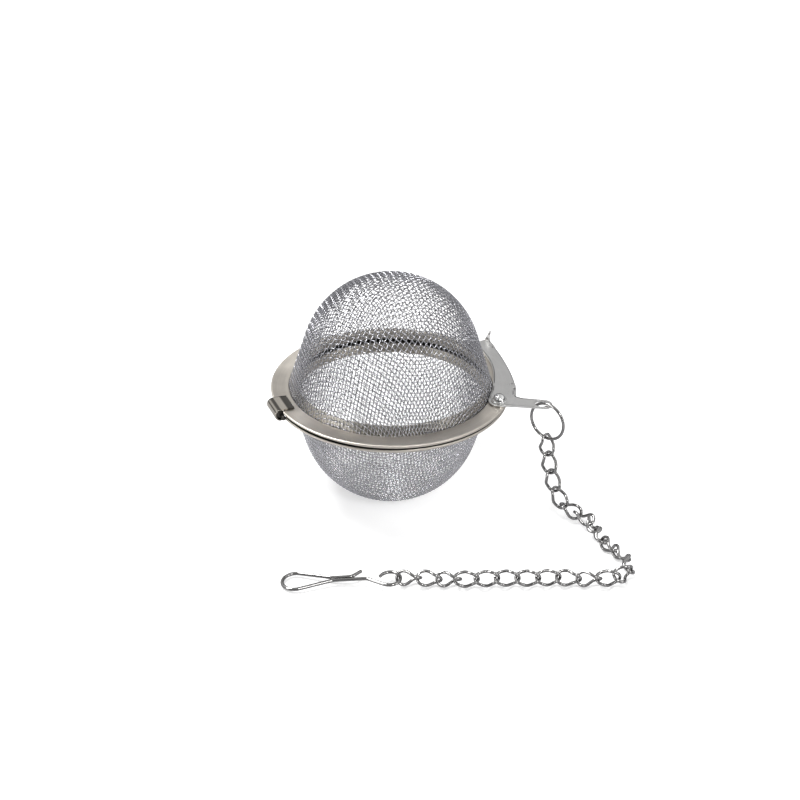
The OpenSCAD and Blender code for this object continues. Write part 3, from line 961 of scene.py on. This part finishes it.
def build_rivet():
    """Domed head, a groove, a flat collar and the shank, turned about the rivet's axis."""
    dome = [(1.39 * math.cos(a), 1.42 + 1.38 * math.sin(a))
            for a in np.radians(np.linspace(86, 12, 16))]
    below = [  # radius, height off the seam
        (1.37, 1.66), (1.30, 1.60), (1.30, 1.545), (1.38, 1.54), (1.42, 1.60), (1.46, 1.64),
        (1.56, 1.645), (1.62, 1.61), (1.65, 1.54), (1.65, 1.43), (1.62, 1.365), (1.54, 1.335),
        (0.80, 1.33), (0.80, 0.86)]
    rings = dome + below
    sides = 64
    x, y = RIVET_SPOT
    verts = [(x, y, SEAM_Z + 2.80)]
    verts += [(x + r * math.cos(a), y + r * math.sin(a), SEAM_Z + z)
              for r, z in rings for a in turn_angles(sides)]
    verts.append((x, y, SEAM_Z + 0.86))
    faces = [(0, 1 + q, 1 + (q + 1) % sides) for q in range(sides)]
    for i in range(len(rings) - 1):
        upper, lower = 1 + i * sides, 1 + (i + 1) * sides
        for q in range(sides):
            q2 = (q + 1) % sides
            faces.append((upper + q, lower + q, lower + q2, upper + q2))
    last = 1 + (len(rings) - 1) * sides
    faces += [(last + (q + 1) % sides, last + q, len(verts) - 1) for q in range(sides)]
    add("latch_rivet_head", verts, faces, RIVET, "upper_half", "latch_rivet",
        angle=50)


build_latch_plate()
build_rivet()


# ------------------------------------------------------------------ ring
RING_RADIUS = 3.95
RING_WIRE = 0.325  # wire radius


def build_ring():
    plane = np.append(polar(1, RING_AZIMUTH), 0)
    up = np.array([0, 0, 1.0])
    seam, gap = math.radians(38), 0.03 / RING_RADIUS
    turn = np.linspace(seam + gap, seam + 2 * math.pi - gap, 120)[:, None]
    path = RING_CENTRE + RING_RADIUS * (np.cos(turn) * plane + np.sin(turn) * up)
    verts, faces = tube(path, RING_WIRE, sides=18, ref=np.cross(plane, up))
    add("ring_wire", verts, faces, CHAIN, "ring", "chain_ring", angle=55)


build_ring()


# ------------------------------------------------------------------ chain links
# Turns of each link in degrees, from the ring to the hook, and the slack after each but the last
LINK_YAW = [-45, -45, -45, -40, -20, -45, -78, -74, -55, -58, -88, -138,
            -172, -179, 174, -174, -179, -179, -174, -179, -179, 175, -178]
LINK_PITCH = [79, 74, 68, 52, 22, 1.8] + [0] * 17
LINK_ROLL = [33, 35, 37, 34, 20, -5, -35, -60, -72, -60, -75, -66,
             -60, -95, -75, -60, -58, -60, -57, -62, -98, -78, -100]
LINK_SLACK = [0, 0, 0.05, 0.35, 0.65, 0.6, 0.1, 0.3, 0.7, 0.35, 0.3, 0.35,
              0.2, 0.05, 0.05, 0, 0, 0.05, 0, 0.6, 0.2, 0.05]
LINK_COUNT = len(LINK_YAW)
LINK_WIRE = 0.62  # wire diameter
LINK_LENGTH = 5.35
LINK_BEND = 1.34  # radius of the wire's centre line at the ends
LINK_TWIST = 76.0  # degrees between the two ends
HALF_LINK = (LINK_LENGTH - LINK_WIRE) / 2
HOOK_WIRE = 0.35  # wire radius
# distance between the centre lines of touching wires, with a little play
LINK_GAP = LINK_WIRE + 0.09
RING_GAP = (LINK_WIRE + 2 * RING_WIRE) / 2 + 0.09
HOOK_GAP = (LINK_WIRE + 2 * HOOK_WIRE) / 2 + 0.12


def link_direction(i):
    pitch, yaw = math.radians(LINK_PITCH[i]), math.radians(LINK_YAW[i])
    return np.array([math.cos(pitch) * math.cos(yaw), math.cos(pitch) * math.sin(yaw),
                     -math.sin(pitch)])


def link_centres():
    ring_bottom = RING_CENTRE - np.array([0, 0, RING_RADIUS])
    centres = [ring_bottom + (HALF_LINK - RING_GAP) * link_direction(0)]
    for i in range(1, LINK_COUNT):
        before, here = link_direction(i - 1), link_direction(i)
        middle = (before + here) / np.linalg.norm(before + here)
        overlap = (LINK_GAP + LINK_SLACK[i - 1]) * middle
        centres.append(centres[-1] + HALF_LINK * before - overlap + HALF_LINK * here)
    return centres


def link_path():
    """Centre line of one curb link in its own axes, from one side of the butt seam to the other."""
    bend_x = HALF_LINK - LINK_BEND
    right = arc_points((bend_x, 0), LINK_BEND, -90, 90, 28)
    left = arc_points((-bend_x, 0), LINK_BEND, 90, 270, 28)
    side = [right[-1] + (left[0] - right[-1]) * k / 12 for k in range(1, 12)]
    loop = np.array(right + side + left + [-q for q in side] + right[:1])
    stations = arc_length(loop)
    count = 96
    path = resample(stations, loop, np.linspace(0, stations[-1], count, endpoint=False))
    # the sides swell a little in the middle and the whole loop is twisted about its long axis
    x = path[:, 0]
    y = path[:, 1] * (1 + 0.05 * np.cos(np.clip(x / (bend_x + 0.5), -1, 1) * math.pi / 2))
    share = np.clip(x / (bend_x + 0.55), -1, 1)
    twist = math.radians(LINK_TWIST / 2) * np.sin(share * math.pi / 2)
    path = np.stack([x, y * np.cos(twist), y * np.sin(twist)], 1)
    path = blur_loop(path, reach=8, step=stations[-1] / count, sigma=0.16)
    # start at the middle of one slanting side, with a hair gap for the seam
    first = int(np.argmin(np.abs(path[:, 0]) + (path[:, 1] > 0) * 9))
    path = np.roll(path, -first, 0)
    start = path[0] + (path[1] - path[0]) * 0.10
    end = path[0] + (path[-1] - path[0]) * 0.10
    return np.concatenate([[start], path[1:], [end]])


def rotation(roll, pitch, yaw):
    return np.array(Matrix.Rotation(math.radians(yaw), 3, "Z")
                    @ Matrix.Rotation(math.radians(pitch), 3, "Y")
                    @ Matrix.Rotation(math.radians(roll), 3, "X"))


def build_links(centres):
    path = link_path()
    for i, centre in enumerate(centres):
        turn = rotation(LINK_ROLL[i], LINK_PITCH[i], LINK_YAW[i])
        if i % 2:  # seams don't all fall on the same side
            turn = turn @ np.diag([-1, -1, 1.0])
        verts, faces = tube(path @ turn.T + centre, LINK_WIRE / 2, sides=16,
                            ref=turn @ np.array([0, 0.2, 1.0]))
        number = "%02d" % (i + 1)
        add("link_wire_" + number, verts, faces, CHAIN, "link_body_" + number,
            "link_" + number, angle=55)


LINK_CENTRES = link_centres()
build_links(LINK_CENTRES)


# ------------------------------------------------------------------ hook
# In the hook's own axes: the eye touches x = 0 and the hook's bend lies at the far -x end
EYE_RADIUS = 2.1
HOOK_BEND_CENTRE = (-20.6, 0.75)
HOOK_BEND_RADIUS = 2.55
HOOK_TIP = [(-7.7, 2.85), (-8.6, 2.02), (-9.5, 1.30), (-11.3, 1.24), (-13.2, 1.25)]
HOOK_SHANK = [(-13.2, 0.42), (-10, 0.42), (-6.6, 0.42)]


def build_hook():
    path = np.array(HOOK_TIP + arc_points(HOOK_BEND_CENTRE, HOOK_BEND_RADIUS, 68, 292, 40)
                    + HOOK_SHANK + arc_points((-EYE_RADIUS, 0), EYE_RADIUS, -128, 155, 50))
    stations = arc_length(path)
    count = int(stations[-1] / 0.18)
    path = resample(stations, path, np.linspace(0, stations[-1], count))
    # soften the bends; both ends are extended by point reflection first
    reach = 14
    kernel = gauss_kernel(reach, step=stations[-1] / (count - 1), sigma=0.42)
    path = blur(np.concatenate([2 * path[0] - path[reach:0:-1], path,
                                2 * path[-1] - path[-2:-reach - 2:-1]]), kernel)
    path = np.column_stack([path, np.zeros(len(path))])
    turn = rotation(roll=0, pitch=-3.4, yaw=2)
    origin = LINK_CENTRES[-1] + (HALF_LINK - HOOK_GAP) * link_direction(LINK_COUNT - 1)
    verts, faces = tube(path @ turn.T + origin, HOOK_WIRE, sides=20,
                        ref=turn @ np.array([0, 0, 1.0]))
    add("hook_wire", verts, faces, HOOK, "hook_body", "hook", angle=55)


build_hook()


# ------------------------------------------------------------------ stage (metres)
FLOOR_Z = -0.0001
LIGHT_TARGET = (0, 0, 0.02)


def matte(bsdf):
    bsdf.inputs["Roughness"].default_value = 0.9
    bsdf.inputs["Specular IOR Level"].default_value = 0.1


def card_material(name, colour, emission=None):
    mat, _, bsdf = new_material(name)
    if emission is not None:
        bsdf.inputs["Emission Color"].default_value = (*colour, 1)
        bsdf.inputs["Emission Strength"].default_value = emission
    bsdf.inputs["Base Color"].default_value = (*colour, 1)
    matte(bsdf)
    return mat


def floor_material():
    """Pale floor, lifted a little for the camera and darker in reflections."""
    mat, tree, bsdf = new_material("floor_pale")
    matte(bsdf)
    rays = tree.nodes.new("ShaderNodeLightPath").outputs
    bsdf.inputs["Emission Color"].default_value = (1, 1, 1, 1)
    lift = add_node(tree, "Math", {0: rays["Is Camera Ray"], 1: 0.23}, operation="MULTIPLY")
    tree.links.new(lift.outputs[0], bsdf.inputs["Emission Strength"])
    colour = add_node(tree, "Mix", {
        "A": (0.93, 0.93, 0.93, 1), "B": (0.44, 0.44, 0.45, 1),
        "Factor": rays["Is Glossy Ray"]}, data_type="RGBA")
    tree.links.new(colour.outputs["Result"], bsdf.inputs["Base Color"])
    return mat


def quad(name, points, mat):
    mesh = bpy.data.meshes.new(name)
    mesh.from_pydata([tuple(p) for p in points], [], [tuple(range(len(points)))])
    mesh.materials.append(mat)
    obj = bpy.data.objects.new(name, mesh)
    bpy.context.scene.collection.objects.link(obj)
    return obj


def upright_card(name, start, end, bottom, top, mat):
    """Upright rectangle over a line on the floor, seen only in reflections."""
    card = quad(name, [(*start, bottom), (*end, bottom), (*end, top), (*start, top)], mat)
    card.visible_shadow = False
    card.visible_diffuse = False
    card.visible_camera = False


def build_world():
    """The metal sees a tent: pale overhead, dim at the horizon and the front, bright sides.

    All other rays see an even pale grey.
    """
    world = bpy.data.worlds.new("studio")
    bpy.context.scene.world = world
    world.use_nodes = True
    tree = world.node_tree
    direction = tree.nodes.new("ShaderNodeTexCoord").outputs["Generated"]
    xyz = add_node(tree, "SeparateXYZ", {0: direction}).outputs
    ramp = add_node(tree, "ValToRGB", {"Fac": xyz["Z"]})
    ramp.color_ramp.interpolation = "EASE"
    elements = ramp.color_ramp.elements
    elements[0].position, elements[0].color = 0.0, (0.05, 0.05, 0.055, 1)
    elements[1].position, elements[1].color = 1.0, (0.72, 0.72, 0.72, 1)
    for place, grey in ((0.10, 0.10), (0.28, 0.38), (0.50, 0.74), (0.75, 0.72)):
        elements.new(place).color = (grey, grey, grey * 1.01, 1)

    def ease(source, from_min, from_max, to_min, to_max):
        return add_node(tree, "MapRange", {
            "From Min": from_min, "From Max": from_max, "To Min": to_min, "To Max": to_max,
            "Value": source}, interpolation_type="SMOOTHSTEP").outputs[0]

    sideways = add_node(tree, "Math", {0: xyz["X"]}, operation="ABSOLUTE")
    side = ease(sideways.outputs[0], from_min=0.30, from_max=0.85, to_min=0.88, to_max=1.45)
    front = ease(xyz["Y"], from_min=-0.85, from_max=-0.25, to_min=0.38, to_max=1.0)
    both = add_node(tree, "Math", {0: side, 1: front}, operation="MULTIPLY")
    tent = add_node(tree, "VectorMath", {0: ramp.outputs["Color"], "Scale": both.outputs[0]},
                    operation="SCALE")
    rays = tree.nodes.new("ShaderNodeLightPath").outputs
    colour = add_node(tree, "Mix", {
        "A": (0.92, 0.92, 0.92, 1), "B": tent.outputs[0], "Factor": rays["Is Glossy Ray"]},
        data_type="RGBA")
    background = tree.nodes["Background"]
    tree.links.new(colour.outputs["Result"], background.inputs["Color"])
    background.inputs["Strength"].default_value = 1.0


def square_light(name, location, size, power):
    light = bpy.data.lights.new(name, "AREA")
    light.energy = power
    light.shape = "RECTANGLE"
    light.size = size
    light.size_y = size
    obj = bpy.data.objects.new(name, light)
    obj.location = location
    aim = Vector(LIGHT_TARGET) - Vector(location)
    obj.rotation_euler = aim.to_track_quat("-Z", "Y").to_euler()
    bpy.context.scene.collection.objects.link(obj)


quad("floor", [(-3, -3, FLOOR_Z), (3, -3, FLOOR_Z), (3, 5, FLOOR_Z), (-3, 5, FLOOR_Z)],
     floor_material())
build_world()
square_light("key", location=(-0.22, 0.05, 0.45), size=0.16, power=1.6)
square_light("front_fill", location=(0.18, -0.40, 0.34), size=0.12, power=0.6)

# dark cards outside the view give the metal its contrast
dark = card_material("card_dark", (0.015, 0.015, 0.017))
for name, start, end, bottom, top in (
    ("card_right", (0.46, 0.25), (0.46, -0.35), 0.0, 0.14),
    ("card_back", (-0.35, 0.75), (0.35, 0.75), 0.03, 0.27),
    ("card_front", (-0.2, -0.60), (0.2, -0.60), 0.02, 0.12),
):
    upright_card(name, start, end, bottom, top, dark)

# two narrow softboxes low at the front corners
soft = card_material("soft_strip", (1.0, 1.0, 1.0), emission=4.0)
for name, first, last in (("strip_left", -152, -138), ("strip_right", -42, -30)):
    upright_card(name, polar(0.40, first), polar(0.40, last), 0.03, 0.17, soft)


# ------------------------------------------------------------------ camera
CAMERA_TILT = math.radians(29.7)  # looking down
CAMERA_ROLL = math.radians(0.77)
CAMERA_DISTANCE = 0.300  # from the ball's centre


def build_camera():
    data = bpy.data.cameras.new("camera")
    data.sensor_width = 36
    data.lens = 64.449
    data.shift_x = 0.011625
    data.shift_y = -0.01675
    data.clip_start = 0.01
    data.clip_end = 20
    forward = np.array([0, math.cos(CAMERA_TILT), -math.sin(CAMERA_TILT)])
    level = np.array([1.0, 0, 0])
    upright = np.cross(level, forward)
    right = math.cos(CAMERA_ROLL) * level + math.sin(CAMERA_ROLL) * upright
    up = -math.sin(CAMERA_ROLL) * level + math.cos(CAMERA_ROLL) * upright
    location = np.array([0, 0, SEAM_Z / MM]) - CAMERA_DISTANCE * forward
    camera = bpy.data.objects.new("camera", data)
    rows = np.stack([right, up, -forward, location], 1).tolist()
    camera.matrix_world = Matrix(rows + [(0, 0, 0, 1)])
    bpy.context.scene.collection.objects.link(camera)
    bpy.context.scene.camera = camera


build_camera()
bpy.context.scene.view_settings.view_transform = "Standard"
